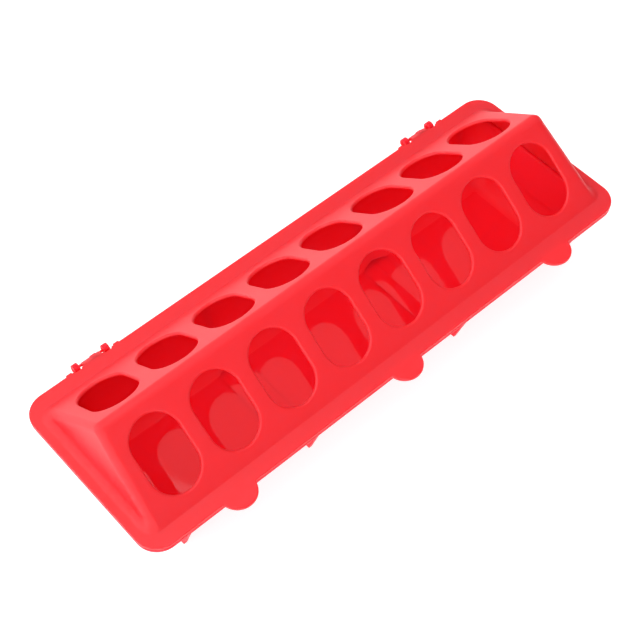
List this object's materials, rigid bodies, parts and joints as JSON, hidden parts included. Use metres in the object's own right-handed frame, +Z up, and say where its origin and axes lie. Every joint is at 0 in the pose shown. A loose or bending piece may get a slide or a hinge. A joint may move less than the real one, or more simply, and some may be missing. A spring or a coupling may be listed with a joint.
{
  "type": "trough feeder",
  "caption": "Low plastic trough feeder for chicks: a finned feed tray under a hip-roofed flip cover with long round-ended feeding holes down both slopes.",
  "frame": {"origin": "middle of the footprint, on the ground the tray stands on", "axes": "+X along the trough and the ridge, -Y the side with the finger tabs, +Y the hinge side, +Z up"},
  "size_m": [0.305, 0.1158, 0.0708],
  "materials": {
    "tray_red_plastic": "glossy inside face, moulded in colour",
    "cover_red_plastic": "semi-gloss, moulded in colour"
  },
  "bodies": {
    "tray": {"feed_tray": "tray_red_plastic"},
    "cover": {"flip_cover": "cover_red_plastic"}
  },
  "joints": [
    {"name": "cover_hinge", "type": "hinge", "parent": "tray", "child": "cover", "pos_m": [0, 0.0558, 0.0357], "axis": [-1, 0, 0], "range_deg": [0, 180]}
  ]
}
